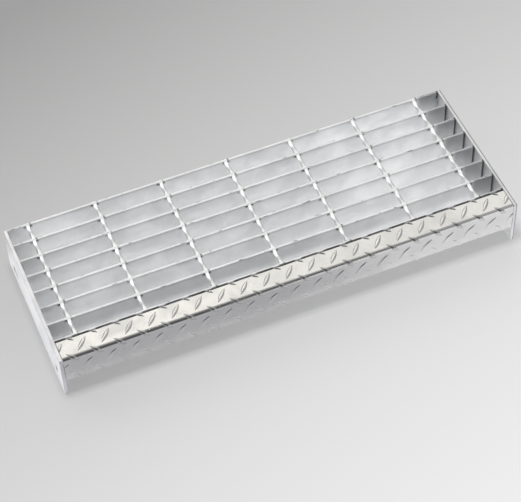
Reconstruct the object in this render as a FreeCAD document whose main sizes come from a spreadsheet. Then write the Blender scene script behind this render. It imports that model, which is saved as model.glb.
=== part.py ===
"""Stair tread of press-welded bar grating with bolt-on end plates and a folded chequer-plate nosing.

Millimetres, +X along the step, -Y towards the nosing, +Z up.
The origin is under the middle of the tread, on the floor that the end plates stand on.
"""
import FreeCAD, Part
import math
import os
import Sketcher

doc = FreeCAD.newDocument("StairTread")

# Driving dimensions
DIMENSIONS = {
    "bar_count": 8,
    "bar_pitch": 30,
    "bar_thick": 3,
    "bar_deep": 40,
    "rod_count": 7,
    "rod_pitch": 100,
    "rod_side": 5,
    "rod_land": 0.5,
    "rod_stub": 1.5,
    "left_bay": 30,
    "right_bay": 40,
    "plate_thick": 5,
    "plate_high": 75,
    "bolt_hole": 12,
    "bolt_inset": 28,
    "slot_wide": 12,
    "slot_long": 24,
    "slot_inset": 37,
    "bolt_up": 26,
    "nosing_wide": 32,
    "nosing_high": 45,
    "nosing_thick": 3,
    "nosing_bend": 2,
    "nosing_slit": 2,
    "nosing_end_gap": 0.5,
    "lug_pitch": 33.4,
    "lug_row": 18.5,
    "lug_long": 27,
    "lug_wide": 7,
    "lug_high": 1.5,
    "lug_lean": 49,
    "lug_flank": 45,
    "lug_start": 32.2,
    "lug_inset": 14,
    "weld_leg": 4,
    "bar_weld_long": 26,
    "nosing_weld_long": 24,
    "stitch_long": 30,
}
sheet = doc.addObject("Spreadsheet::Sheet", "Sizes")
for row, (alias, number) in enumerate(DIMENSIONS.items(), start=1):
    sheet.set("A%d" % row, alias)
    sheet.set("B%d" % row, str(number))
    sheet.setAlias("B%d" % row, alias)
doc.recompute()

# Places that several pieces share, worked out from the driving dimensions
INNER_LENGTH = "(Sizes.left_bay + (Sizes.rod_count - 1) * Sizes.rod_pitch + Sizes.right_bay)"
LEFT_FACE = "(-%s / 2)" % INNER_LENGTH
RIGHT_FACE = "(%s / 2)" % INNER_LENGTH
GRATING_DEPTH = "((Sizes.bar_count - 1) * Sizes.bar_pitch + Sizes.bar_thick)"
DEPTH = "(%s + Sizes.nosing_slit + Sizes.nosing_wide)" % GRATING_DEPTH
REAR_FACE = "(%s / 2)" % DEPTH
FIRST_ROD = "(%s + Sizes.left_bay)" % LEFT_FACE
NOSING_LENGTH = "(%s - 2 * Sizes.nosing_end_gap)" % INNER_LENGTH
BEND_OUTSIDE = "(Sizes.nosing_bend + Sizes.nosing_thick)"


def number(expression):
    """The value that an expression has now, for a sketch's first guess."""
    return float(sheet.evalExpression(expression))


def new_body(label):
    body = doc.addObject("PartDesign::Body", label)
    body.Label = label
    body.AllowCompound = True
    return body


def place(piece, x="0", y="0", z="0"):
    piece.setExpression("Placement.Base.x", x)
    piece.setExpression("Placement.Base.y", y)
    piece.setExpression("Placement.Base.z", z)


def new_sketch(body, plane, name, lift="0"):
    """A sketch on one of the body's own origin planes, lifted along that plane's normal."""
    sketch = body.newObject("Sketcher::SketchObject", "%s_%s" % (body.Label, name))
    support = next(f for f in body.Origin.OriginFeatures if f.Role == plane)
    sketch.AttachmentSupport = [(support, "")]
    sketch.MapMode = "FlatFace"
    sketch.setExpression("AttachmentOffset.Base.z", lift)
    return sketch


def pin_point(sketch, edge, end, x, y):
    """Fixes a point of a sketch at x, y from the sketch's origin."""
    for kind, where in (("DistanceX", x), ("DistanceY", y)):
        index = sketch.addConstraint(Sketcher.Constraint(kind, -1, 1, edge, end, number(where)))
        sketch.setExpression("Constraints[%d]" % index, where)


def draw_outline(sketch, points):
    """A closed outline of straight sides."""
    corners = [FreeCAD.Vector(number(x), number(y), 0) for x, y in points]
    sides = []
    for i, corner in enumerate(corners):
        following = corners[(i + 1) % len(corners)]
        sides.append(sketch.addGeometry(Part.LineSegment(corner, following), False))
    for i, side in enumerate(sides):
        following = sides[(i + 1) % len(sides)]
        sketch.addConstraint(Sketcher.Constraint("Coincident", side, 2, following, 1))
        pin_point(sketch, side, 1, *points[i])


def draw_box(sketch, left, bottom, right, top):
    draw_outline(sketch, [(left, bottom), (right, bottom), (right, top), (left, top)])


def draw_circle(sketch, x, y, diameter):
    centre = FreeCAD.Vector(number(x), number(y), 0)
    normal = FreeCAD.Vector(0, 0, 1)
    edge = sketch.addGeometry(Part.Circle(centre, normal, number(diameter) / 2), False)
    pin_point(sketch, edge, 3, x, y)
    index = sketch.addConstraint(Sketcher.Constraint("Diameter", edge, number(diameter)))
    sketch.setExpression("Constraints[%d]" % index, diameter)


def draw_slot(sketch, x, y, length, width):
    """A round-ended slot along the sketch's X: two straight sides between two half circles."""
    half = "((%s - %s) / 2)" % (length, width)
    left, right = "%s - %s" % (x, half), "%s + %s" % (x, half)
    low, high = "%s - %s / 2" % (y, width), "%s + %s / 2" % (y, width)
    radius = number(width) / 2
    normal = FreeCAD.Vector(0, 0, 1)
    quarter = math.pi / 2

    def corner(across, up):
        return FreeCAD.Vector(number(across), number(up), 0)

    bottom = sketch.addGeometry(Part.LineSegment(corner(left, low), corner(right, low)), False)
    circle = Part.Circle(corner(right, y), normal, radius)
    right_end = sketch.addGeometry(Part.ArcOfCircle(circle, -quarter, quarter), False)
    top = sketch.addGeometry(Part.LineSegment(corner(right, high), corner(left, high)), False)
    circle = Part.Circle(corner(left, y), normal, radius)
    left_end = sketch.addGeometry(Part.ArcOfCircle(circle, quarter, 3 * quarter), False)
    loop = [bottom, right_end, top, left_end]
    for i, side in enumerate(loop):
        sketch.addConstraint(Sketcher.Constraint("Coincident", side, 2, loop[(i + 1) % 4], 1))
    pin_point(sketch, bottom, 1, left, low)
    pin_point(sketch, bottom, 2, right, low)
    pin_point(sketch, top, 1, right, high)
    pin_point(sketch, top, 2, left, high)
    for end, across in ((right_end, right), (left_end, left)):
        index = sketch.addConstraint(Sketcher.Constraint("DistanceX", -1, 1, end, 3, number(across)))
        sketch.setExpression("Constraints[%d]" % index, across)


def pad(body, sketch, length, flank=None):
    """Extrudes a sketch along its normal; a flank angle makes it narrower as it rises."""
    feature = body.newObject("PartDesign::Pad", sketch.Name + "_pad")
    feature.Profile = sketch
    feature.setExpression("Length", length)
    if flank:
        feature.setExpression("TaperAngle", "-" + flank)
    return feature


def repeat(body, feature, sketch, axis, step, count):
    """Copies a feature in a straight row along one of its sketch's axes."""
    pattern = body.newObject("PartDesign::LinearPattern", feature.Name + "_row")
    pattern.Originals = [feature]
    pattern.Direction = (sketch, [axis])
    pattern.setExpression("Length", "%s * (%s - 1)" % (step, count))
    pattern.setExpression("Occurrences", count)
    body.Tip = pattern
    return pattern


# Bearing bars: flat bar on edge, notched along the top for the cross rods
def bearing_bar(index):
    body = new_body("bearing_bar_%d" % (index + 1))
    side = new_sketch(body, "XZ_Plane", "side")
    draw_box(side, "0", "-Sizes.bar_deep", INNER_LENGTH, "0")
    pad(body, side, "Sizes.bar_thick")
    notch = new_sketch(body, "XZ_Plane", "notch")
    notch_left = "Sizes.left_bay - Sizes.rod_side / 2"
    notch_right = "Sizes.left_bay + Sizes.rod_side / 2"
    draw_box(notch, notch_left, "-Sizes.rod_side", notch_right, "Sizes.rod_side")
    cut = body.newObject("PartDesign::Pocket", body.Label + "_notch_cut")
    cut.Profile = notch
    cut.Reversed = True
    cut.setExpression("Length", "Sizes.bar_thick")
    doc.recompute()
    repeat(body, cut, notch, "H_Axis", "Sizes.rod_pitch", "Sizes.rod_count")
    place(body, LEFT_FACE, "%s - %d * Sizes.bar_pitch" % (REAR_FACE, index), "Sizes.plate_high")
    return body


# Cross rods: square wire, straight where it is pressed into a bar and twisted a quarter turn between
TWIST_STEPS = 6


def rod_stations():
    """Distance from the rear bar's rear face and turn in degrees, from the rear end to the front end."""
    thick, pitch, land = number("Sizes.bar_thick"), number("Sizes.bar_pitch"), number("Sizes.rod_land")
    bars = int(number("Sizes.bar_count"))
    stations = [(-number("Sizes.rod_stub"), 0)]
    for bar in range(bars - 1):
        start = bar * pitch + thick + land
        end = (bar + 1) * pitch - land
        for step in range(TWIST_STEPS + 1):
            share = step / TWIST_STEPS
            stations.append((start + (end - start) * share, 90 * (bar + share)))
    stations.append(((bars - 1) * pitch + thick, 90 * (bars - 1)))
    return stations


def square_at(distance, turn):
    """Corners of the wire's square section; the twist is right-handed about +Y."""
    reach = number("Sizes.rod_side") / math.sqrt(2)
    corners = []
    for quarter in range(4):
        angle = math.radians(45 + 90 * quarter + turn)
        corners.append(FreeCAD.Vector(reach * math.cos(angle), -distance, reach * math.sin(angle)))
    return corners


def cross_rod(index):
    """The wire's sides are flat facets: whole where it is straight, halved where it twists."""
    stations = rod_stations()
    squares = [square_at(*station) for station in stations]
    outlines = [squares[0], squares[-1]]
    for i in range(len(squares) - 1):
        straight = stations[i][1] == stations[i + 1][1]
        for side in range(4):
            a, b = squares[i][side], squares[i][(side + 1) % 4]
            c, d = squares[i + 1][(side + 1) % 4], squares[i + 1][side]
            outlines.extend([[a, b, c, d]] if straight else [[a, b, c], [a, c, d]])
    faces = [Part.Face(Part.makePolygon(outline + outline[:1])) for outline in outlines]
    rod = doc.addObject("Part::Feature", "cross_rod_%d" % (index + 1))
    rod.Label = "cross_rod_%d" % (index + 1)
    rod.Shape = Part.Solid(Part.Shell(faces))
    place(rod, "%s + %d * Sizes.rod_pitch" % (FIRST_ROD, index), REAR_FACE,
          "Sizes.plate_high - Sizes.rod_side / 2")
    return rod


# End plates: flat bar that carries the bar ends, with a round bolt hole in front and a slot behind
def end_plate(label, left):
    body = new_body(label)
    outline = new_sketch(body, "YZ_Plane", "outline")
    draw_box(outline, "-" + DEPTH, "0", "0", "Sizes.plate_high")
    draw_circle(outline, "Sizes.bolt_inset - " + DEPTH, "Sizes.bolt_up", "Sizes.bolt_hole")
    draw_slot(outline, "-Sizes.slot_inset", "Sizes.bolt_up", "Sizes.slot_long", "Sizes.slot_wide")
    pad(body, outline, "Sizes.plate_thick")
    place(body, left, REAR_FACE)
    return body


# Nosing: chequer plate folded to an angle, with long lugs that run across the fold
LUG_COUNT = "(ceil(%s / Sizes.lug_pitch) + 2)" % NOSING_LENGTH
SLASH_START = "Sizes.lug_start - Sizes.lug_pitch"
BACKSLASH_START = "Sizes.lug_start - 1.5 * Sizes.lug_pitch"
QUARTER_ARC = "(%s * pi / 2)" % BEND_OUTSIDE
TOP_FLAT = "(Sizes.nosing_wide - %s)" % BEND_OUTSIDE
FRONT_BAR_FACE = "(%s - %s)" % (REAR_FACE, GRATING_DEPTH)


def lug_row(row):
    """How far a row of lugs lies from the rear edge, along the plate's outside before folding."""
    return "(Sizes.lug_inset + %d * Sizes.lug_row)" % row


def draw_lug(sketch, x, y, lean, squash="1"):
    """A six-sided lug about x, y with pointed ends, leaning from the sketch's X; squash flattens it in Y."""
    along_x = "Sizes.lug_long / 2 * cos(%s)" % lean
    along_y = "Sizes.lug_long / 2 * sin(%s) * %s" % (lean, squash)
    aside_x = "Sizes.lug_wide / 2 * sin(%s)" % lean
    aside_y = "Sizes.lug_wide / 2 * cos(%s) * %s" % (lean, squash)
    corners = []
    for along, aside in ((-1, 0), (-1 / 3, -1), (1 / 3, -1), (1, 0), (1 / 3, 1), (-1 / 3, 1)):
        corners.append(("%s + %f * %s - %f * %s" % (x, along, along_x, aside, aside_x),
                        "%s + %f * %s + %f * %s" % (y, along, along_y, aside, aside_y)))
    draw_outline(sketch, corners)


def raise_lugs(body, sketch, length, flank=None):
    """Pads one lug and repeats it along the whole nosing and past both its ends."""
    lug = pad(body, sketch, length, flank)
    doc.recompute()
    repeat(body, lug, sketch, "H_Axis", "Sizes.lug_pitch", LUG_COUNT)


def folded_angle(body, outside):
    """An angle section with a rounded fold, whose outside lies a distance beyond the plate's outer face."""
    section = new_sketch(body, "YZ_Plane", "section")
    front = "-Sizes.nosing_wide - " + outside
    inner = "Sizes.nosing_thick - Sizes.nosing_wide"
    under = "-Sizes.nosing_thick"
    foot = "-Sizes.nosing_high"
    draw_outline(section, [("0", outside), (front, outside), (front, foot),
                           (inner, foot), (inner, under), ("0", under)])
    feature = pad(body, section, NOSING_LENGTH)
    doc.recompute()
    folds = (("outer", front, outside, "%s + %s" % (BEND_OUTSIDE, outside)),
             ("inner", inner, under, "Sizes.nosing_bend"))
    for name, y, z, radius in folds:
        middle = FreeCAD.Vector(number(NOSING_LENGTH) / 2, number(y), number(z))
        away = [(edge.CenterOfMass - middle).Length for edge in feature.Shape.Edges]
        fillet = body.newObject("PartDesign::Fillet", "%s_%s_fold" % (body.Label, name))
        fillet.Base = (feature, ["Edge%d" % (away.index(min(away)) + 1)])
        fillet.setExpression("Radius", radius)
        doc.recompute()
        feature = fillet


def nosing():
    plate = new_body("nosing_plate")
    folded_angle(plate, "0")
    slash, backslash = "Sizes.lug_lean", "-Sizes.lug_lean"

    # Lugs on the top: a row cut through by the rear edge, then a whole row
    for name, row, start, lean in (("rear_lug", -1, BACKSLASH_START, backslash),
                                   ("top_lug", 0, SLASH_START, slash)):
        sketch = new_sketch(plate, "XY_Plane", name)
        draw_lug(sketch, start, "-" + lug_row(row), lean)
        raise_lugs(plate, sketch, "Sizes.lug_high", "Sizes.lug_flank")

    # Lugs on the front: a whole row, then a row cut through by the lower edge
    spare = "(%s + %s - %s)" % (TOP_FLAT, QUARTER_ARC, BEND_OUTSIDE)
    for name, row, start, lean in (("front_lug", 2, SLASH_START, slash),
                                   ("foot_lug", 3, BACKSLASH_START, backslash)):
        sketch = new_sketch(plate, "XZ_Plane", name, "Sizes.nosing_wide")
        draw_lug(sketch, start, "%s - %s" % (spare, lug_row(row)), lean)
        raise_lugs(plate, sketch, "Sizes.lug_high", "Sizes.lug_flank")

    # Lugs over the fold, drawn square to its middle, where both flanges are foreshortened alike
    sketch = new_sketch(plate, "XY_Plane", "fold_lug", "-%s - Sizes.lug_long / 4 * cos(45)" % BEND_OUTSIDE)
    sketch.setExpression("AttachmentOffset.Base.y", "Sizes.lug_long / 4 * cos(45) - " + TOP_FLAT)
    sketch.setExpression("AttachmentOffset.Rotation.Axis.x", "1")
    sketch.setExpression("AttachmentOffset.Rotation.Axis.z", "0")
    sketch.setExpression("AttachmentOffset.Rotation.Angle", "45")
    past_fold = "(%s + %s / 2 - %s)" % (TOP_FLAT, QUARTER_ARC, lug_row(1))
    draw_lug(sketch, BACKSLASH_START, "%s * cos(45)" % past_fold, backslash, "cos(45)")
    raise_lugs(plate, sketch, "Sizes.lug_long / 4 + %s + 2 * Sizes.lug_high" % BEND_OUTSIDE)

    # The plate's own edges and the lugs' height trim what stands past them
    envelope = new_body("nosing_envelope")
    folded_angle(envelope, "Sizes.lug_high")
    trimmed = doc.addObject("Part::Common", "nosing")
    trimmed.Label = "nosing"
    trimmed.Base = plate
    trimmed.Tool = envelope
    place(trimmed, "%s + Sizes.nosing_end_gap" % LEFT_FACE,
          "%s - Sizes.nosing_slit" % FRONT_BAR_FACE, "Sizes.plate_high")
    return trimmed


# Weld beads: mitred fillets that hold the bar ends to the plates, and the nosing to bar and plates
def end_welds(label, face, inward):
    """One upright bead behind each bar's end, and in front of the rear bar's end."""
    body = new_body(label)
    leg = "%d * Sizes.weld_leg" % inward
    behind = new_sketch(body, "XY_Plane", "behind")
    front_bar = "-(Sizes.bar_count - 1) * Sizes.bar_pitch"
    draw_outline(behind, [("0", front_bar), (leg, front_bar), ("0", front_bar + " + Sizes.weld_leg")])
    bead = pad(body, behind, "Sizes.bar_weld_long")
    doc.recompute()
    repeat(body, bead, behind, "V_Axis", "Sizes.bar_pitch", "(Sizes.bar_count - 1)")
    before = new_sketch(body, "XY_Plane", "before")
    draw_outline(before, [("0", "-Sizes.bar_thick"), (leg, "-Sizes.bar_thick"),
                          ("0", "-Sizes.bar_thick - Sizes.weld_leg")])
    pad(body, before, "Sizes.bar_weld_long")
    place(body, face, REAR_FACE, "Sizes.plate_high - Sizes.bar_deep")
    return body


def nosing_welds():
    """Stitches under the top flange, one in each bay, and an upright bead inside each end."""
    body = new_body("nosing_welds")
    first_stitch = "Sizes.left_bay + (Sizes.rod_pitch - Sizes.stitch_long) / 2"
    stitch = new_sketch(body, "YZ_Plane", "stitch", first_stitch)
    under = "-Sizes.nosing_thick"
    draw_outline(stitch, [("0", under), ("-Sizes.nosing_slit - Sizes.weld_leg", under),
                          ("0", under + " - Sizes.weld_leg")])
    bead = pad(body, stitch, "Sizes.stitch_long")
    doc.recompute()
    repeat(body, bead, stitch, "N_Axis", "Sizes.rod_pitch", "(Sizes.rod_count - 1)")
    flange = "(Sizes.nosing_thick - Sizes.nosing_wide - Sizes.nosing_slit)"
    for name, face, inward in (("left_end", "0", 1), ("right_end", INNER_LENGTH, -1)):
        corner = new_sketch(body, "XY_Plane", name, "Sizes.weld_leg - Sizes.nosing_high")
        reach = "%s + %d * (Sizes.nosing_end_gap + Sizes.weld_leg)" % (face, inward)
        draw_outline(corner, [(face, flange), (reach, flange), (face, flange + " + Sizes.weld_leg")])
        pad(body, corner, "Sizes.nosing_weld_long")
    place(body, LEFT_FACE, FRONT_BAR_FACE, "Sizes.plate_high")
    return body


pieces = [bearing_bar(index) for index in range(int(number("Sizes.bar_count")))]
pieces += [cross_rod(index) for index in range(int(number("Sizes.rod_count")))]
pieces.append(end_plate("end_plate_left", "%s - Sizes.plate_thick" % LEFT_FACE))
pieces.append(end_plate("end_plate_right", RIGHT_FACE))
pieces.append(nosing())
pieces.append(end_welds("end_welds_left", LEFT_FACE, 1))
pieces.append(end_welds("end_welds_right", RIGHT_FACE, -1))
pieces.append(nosing_welds())
doc.recompute()

# Every object has to be sound before anything is written
for item in doc.Objects:
    if "Invalid" in item.State or "Error" in item.State:
        raise RuntimeError("%s failed: %s" % (item.Label, item.State))
for piece in pieces:
    if piece.Shape.isNull() or not piece.Shape.isValid():
        raise RuntimeError("%s has no valid shape" % piece.Label)

os.makedirs("parts", exist_ok=True)
for piece in pieces:
    piece.Shape.exportStep("parts/%s.step" % piece.Label)
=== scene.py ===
"""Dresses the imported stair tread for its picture.

The grating gets rounded zinc edges and the steel that its rods squeezed out, the rods a smooth twist, the
nosing its almond lugs, and the welds their ripples. All of it is in metres, in the frame's own axes.
"""
import math

import bmesh
import bpy
from mathutils import Matrix, Vector


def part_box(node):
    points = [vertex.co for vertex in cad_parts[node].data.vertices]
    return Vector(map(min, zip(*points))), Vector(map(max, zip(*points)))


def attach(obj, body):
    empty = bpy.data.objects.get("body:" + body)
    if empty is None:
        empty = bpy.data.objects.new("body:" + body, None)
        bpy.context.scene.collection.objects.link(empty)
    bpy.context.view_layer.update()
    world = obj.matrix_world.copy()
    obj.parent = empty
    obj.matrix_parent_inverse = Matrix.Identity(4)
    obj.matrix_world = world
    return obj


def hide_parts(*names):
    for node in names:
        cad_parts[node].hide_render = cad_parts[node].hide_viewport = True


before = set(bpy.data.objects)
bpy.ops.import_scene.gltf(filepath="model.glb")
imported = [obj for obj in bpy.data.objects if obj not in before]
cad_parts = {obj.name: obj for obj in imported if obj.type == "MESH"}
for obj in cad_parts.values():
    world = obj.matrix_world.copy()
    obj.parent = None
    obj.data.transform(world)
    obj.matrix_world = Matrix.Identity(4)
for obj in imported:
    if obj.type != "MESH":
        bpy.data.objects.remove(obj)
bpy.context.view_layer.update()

MM = 0.001

# Bearing bars: eight mild-steel flat bars on edge, which carry the load between the end plates.
# The rods are forged into their tops by current and pressure, which squeezes some steel out at each crossing.
# The zinc bath comes last, and rounds every edge.
bar_nodes = sorted(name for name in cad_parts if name.startswith("bearing_bar"))
rod_nodes = sorted(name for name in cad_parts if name.startswith("cross_rod"))
rear_bar_low, rear_bar_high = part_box(bar_nodes[0])
bar_size = rear_bar_high - rear_bar_low
bar_pitch = rear_bar_low.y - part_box(bar_nodes[1])[0].y
first_rod = sum((corner.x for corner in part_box(rod_nodes[0]))) / 2
rod_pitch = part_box(rod_nodes[1])[0].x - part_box(rod_nodes[0])[0].x
BAR_STEP = 2.5 * MM
BAR_EDGE = 0.3 * MM
FLASH_REACH = 6.5 * MM
FLASH_DEPTH = 9 * MM
FLASH_SWELL = 0.7
FLASH_RISE = 0.3 * MM
BAR_WOBBLE = 0.35 * MM
LIP_SWELL = 0.2
LIP_DEEP = 2 * MM
WOBBLE_LONG = 22 * MM
BAR_CUTS = (2.5 * MM, 5 * MM, 9 * MM, 15 * MM, 24 * MM)
EDGE_ANGLE = math.radians(50)
SHARP_ANGLE = math.radians(40)
CLOUD_SIZE = 45 * MM
RUN_SIZE = 9 * MM
CRYSTAL_SHARE = 0.3
SATIN_SPREAD = 0.08
FLAKE_SIZE = 9 * MM
DENT_LONG = 16 * MM
DENT_WIDE = 3 * MM
ROD_SPOT_PATCH = 60 * MM
BAR_METAL = 0.88
EDGE_METAL = 0.3
EDGE_START = 0.15 * MM
EDGE_END = 0.5 * MM
# A near black for scale and nicks, and for painted shade on the bars
SCALE_AND_SHADE_BLACK = "#1E1F20"
last_rod = first_rod + rod_pitch * (len(rod_nodes) - 1)


def linear(colour):
    """An sRGB hex colour as linear red, green, blue and alpha."""
    channels = [int(colour[i:i + 2], 16) / 255 for i in (1, 3, 5)]
    return [c / 12.92 if c <= 0.04045 else ((c + 0.055) / 1.055) ** 2.4 for c in channels] + [1.0]


def add_node(tree, kind, inputs=None, **settings):
    """Adds a node with its settings; an input is a value, a socket, or a node that gives its first output."""
    node = tree.nodes.new(kind)
    for name, value in settings.items():
        setattr(node, name, value)
    for key, value in (inputs or {}).items():
        if isinstance(value, bpy.types.Node):
            value = value.outputs[0]
        if isinstance(value, bpy.types.NodeSocket):
            tree.links.new(value, node.inputs[key])
        else:
            node.inputs[key].default_value = value
    return node


def new_tree(name, sizes):
    """A Geometry Nodes tree with a named input for each size, and its group input node."""
    tree = bpy.data.node_groups.new(name, "GeometryNodeTree")
    tree.interface.new_socket("Geometry", in_out="INPUT", socket_type="NodeSocketGeometry")
    tree.interface.new_socket("Geometry", in_out="OUTPUT", socket_type="NodeSocketGeometry")
    for size, value in sizes.items():
        kind = "NodeSocketInt" if isinstance(value, int) else "NodeSocketFloat"
        tree.interface.new_socket(size, in_out="INPUT", socket_type=kind)
    return tree, tree.nodes.new("NodeGroupInput").outputs


def shaped(name, mesh, edge=0.0, tree=None, sizes=None):
    """Rounds a mesh's edges, runs it through a tree, and keeps the result as a plain mesh."""
    piece = bpy.data.objects.new(name, mesh)
    bpy.context.scene.collection.objects.link(piece)
    if edge:
        rounding = piece.modifiers.new("rounded_edges", "BEVEL")
        rounding.width = edge
        rounding.segments = 2
        rounding.limit_method = "ANGLE"
        rounding.angle_limit = EDGE_ANGLE
    if tree:
        modifier = piece.modifiers.new(tree.name, "NODES")
        modifier.node_group = tree
        for item in tree.interface.items_tree:
            if item.in_out == "INPUT" and item.name in sizes:
                modifier[item.identifier] = sizes[item.name]
    made = bpy.data.meshes.new_from_object(piece.evaluated_get(bpy.context.evaluated_depsgraph_get()))
    piece.modifiers.clear()
    piece.data = made
    made.shade_smooth()
    made.set_sharp_from_angle(angle=SHARP_ANGLE)
    return piece


def galvanised(name, bright, dull, metallic, roughness, spangle, ripple):
    """Hot-dip zinc on steel: a soft metal sheen, with pale crystals of one size and broad cloudy patches."""
    material = bpy.data.materials.new(name)
    material.use_nodes = True
    tree = material.node_tree
    shader = tree.nodes["Principled BSDF"]
    place = add_node(tree, "ShaderNodeTexCoord").outputs["Object"]
    crystal = add_node(tree, "ShaderNodeTexVoronoi", {"Vector": place, "Scale": 1 / spangle})
    grey = add_node(tree, "ShaderNodeRGBToBW", {"Color": crystal.outputs["Color"]})
    cloud = add_node(tree, "ShaderNodeTexNoise", {"Vector": place, "Scale": 1 / CLOUD_SIZE, "Detail": 4.0,
                                                  "Roughness": 0.55, "Distortion": 0.6})
    patch = add_node(tree, "ShaderNodeMapRange", {0: cloud.outputs["Fac"], 1: 0.36, 2: 0.64},
                     interpolation_type="SMOOTHSTEP")
    blend = add_node(tree, "ShaderNodeMix", {0: CRYSTAL_SHARE, 2: patch, 3: grey}, data_type="FLOAT")
    colour = add_node(tree, "ShaderNodeMix", {0: blend, 6: linear(dull), 7: linear(bright)}, data_type="RGBA")
    tree.links.new(colour.outputs[2], shader.inputs["Base Color"])
    shader.inputs["Metallic"].default_value = metallic
    satin = add_node(tree, "ShaderNodeMapRange", {0: blend, 3: roughness + SATIN_SPREAD,
                                                  4: roughness - SATIN_SPREAD})
    tree.links.new(satin.outputs[0], shader.inputs["Roughness"])
    runs = add_node(tree, "ShaderNodeTexNoise", {"Vector": place, "Scale": 1 / RUN_SIZE, "Detail": 2.0})
    relief = add_node(tree, "ShaderNodeBump", {"Height": runs.outputs["Fac"], "Strength": 0.35,
                                               "Distance": ripple})
    tree.links.new(relief.outputs["Normal"], shader.inputs["Normal"])
    return material


def paint_stain_and_shade(material, marks, colour):
    """Mixes a colour into a material's base colour by the strongest of some marks: real stains,
    and painted shade and reflection.

    A mark is the product of its fades. A fade is a value, the two places that it runs between, and its
    strength at each of them.
    """
    tree = material.node_tree
    mask = 0.0
    for fades in marks:
        mark = 1.0
        for value, start, end, before, after in fades:
            fade = add_node(tree, "ShaderNodeMapRange", {0: value, 1: start, 2: end, 3: before, 4: after})
            mark = add_node(tree, "ShaderNodeMath", {0: mark, 1: fade}, operation="MULTIPLY")
        mask = add_node(tree, "ShaderNodeMath", {0: mask, 1: mark}, operation="MAXIMUM")
    base = tree.nodes["Principled BSDF"].inputs["Base Color"]
    mixed = add_node(tree, "ShaderNodeMix", {0: mask, 6: base.links[0].from_socket, 7: linear(colour)},
                     data_type="RGBA")
    tree.links.new(mixed.outputs[2], base)


zinc_on_bar = galvanised("galvanised_flat_bar", "#F2F3F4", "#E6E7E8", metallic=BAR_METAL, roughness=0.36,
                         spangle=11 * MM, ripple=0.025 * MM)

# The corners beside each rod, just under the top, are darkened as scale and as painted shade,
# and small dark spots lie near the top just right of each rod. A thin painted shade lies under the top edges,
# the end bays are painted darker as shade from the end plates, and the right end of each bar is painted
# almost black as the shade in an open gap at its joint. Boots leave a few nicks.
tree = zinc_on_bar.node_tree
place = add_node(tree, "ShaderNodeTexCoord").outputs["Object"]
spot = add_node(tree, "ShaderNodeSeparateXYZ", {0: place})
from_rod = add_node(tree, "ShaderNodeMath", {0: spot.outputs["X"], 1: first_rod}, operation="SUBTRACT")
near_rod = add_node(tree, "ShaderNodeMath", {0: from_rod, 1: rod_pitch / 2}, operation="PINGPONG")
past_rod = add_node(tree, "ShaderNodeMath", {0: from_rod, 1: rod_pitch / 2, 2: -rod_pitch / 2},
                    operation="WRAP")
below = add_node(tree, "ShaderNodeMath", {0: rear_bar_high.z, 1: spot.outputs["Z"]}, operation="SUBTRACT")
flakes = add_node(tree, "ShaderNodeTexNoise", {"Vector": place, "Scale": 1 / FLAKE_SIZE, "Detail": 1.0})
flaked = add_node(tree, "ShaderNodeMapRange", {0: flakes.outputs["Fac"], 1: 0.4, 2: 0.6, 3: 0.3, 4: 0.95})
dent_grain = (1 / DENT_LONG, 1 / DENT_WIDE, 1 / DENT_WIDE)
stretched = add_node(tree, "ShaderNodeVectorMath", {0: place, 1: dent_grain}, operation="MULTIPLY")
dents = add_node(tree, "ShaderNodeTexNoise", {"Vector": stretched, "Scale": 1.0, "Detail": 1.0})
patches = add_node(tree, "ShaderNodeTexNoise", {"Vector": place, "Scale": 1 / ROD_SPOT_PATCH, "Detail": 1.0})
right_end = bar_size.x / 2
# Scale and painted shade in the corners beside each rod, just under the top
scale = [(near_rod, 4.5 * MM, 8 * MM, 1.0, 0.0), (below, 0.5 * MM, 1.2 * MM, 0.0, 1.0),
         (below, 3.5 * MM, 8 * MM, flaked, 0.0)]
shade = [(below, 0.35 * MM, 0.8 * MM, 0.0, 1.0), (below, 0.8 * MM, 6 * MM, 0.27, 0.0)]
# Painted shade: the end bays are darker, as the end plates shade them
end_shade_right = [(spot.outputs["X"], last_rod + 3 * MM, last_rod + 12 * MM, 0.0, 0.42)]
end_shade_left = [(spot.outputs["X"], first_rod + 2 * MM, first_rod - 22 * MM, 0.0, 0.24)]
# Painted shade: each bar's right end is almost black, as the shade in an open gap at the joint
root = [(spot.outputs["X"], right_end - 2.6 * MM, right_end - 2 * MM, 0.0, 0.95)]
nicks = [(dents.outputs["Fac"], 0.67, 0.7, 0.0, 1.0), (below, 0.8 * MM, 1.6 * MM, 0.7, 0.0)]
# Small dark spots near the top just right of each rod, in patches
gaps = [(past_rod, 2.2 * MM, 2.8 * MM, 0.0, 1.0), (past_rod, 4.5 * MM, 6 * MM, 0.7, 0.0),
        (below, 1.2 * MM, 2.2 * MM, 1.0, 0.0), (patches.outputs["Fac"], 0.4, 0.6, 0.25, 1.0)]
paint_stain_and_shade(zinc_on_bar, [scale, shade, end_shade_right, end_shade_left, root, nicks, gaps], SCALE_AND_SHADE_BLACK)

# Feet and the bath leave the top edges whiter and less mirror-like than the faces
white_edge = add_node(tree, "ShaderNodeMapRange", {0: below, 1: EDGE_START, 2: EDGE_END, 3: EDGE_METAL,
                                                   4: BAR_METAL})
tree.links.new(white_edge.outputs[0], tree.nodes["Principled BSDF"].inputs["Metallic"])

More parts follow.
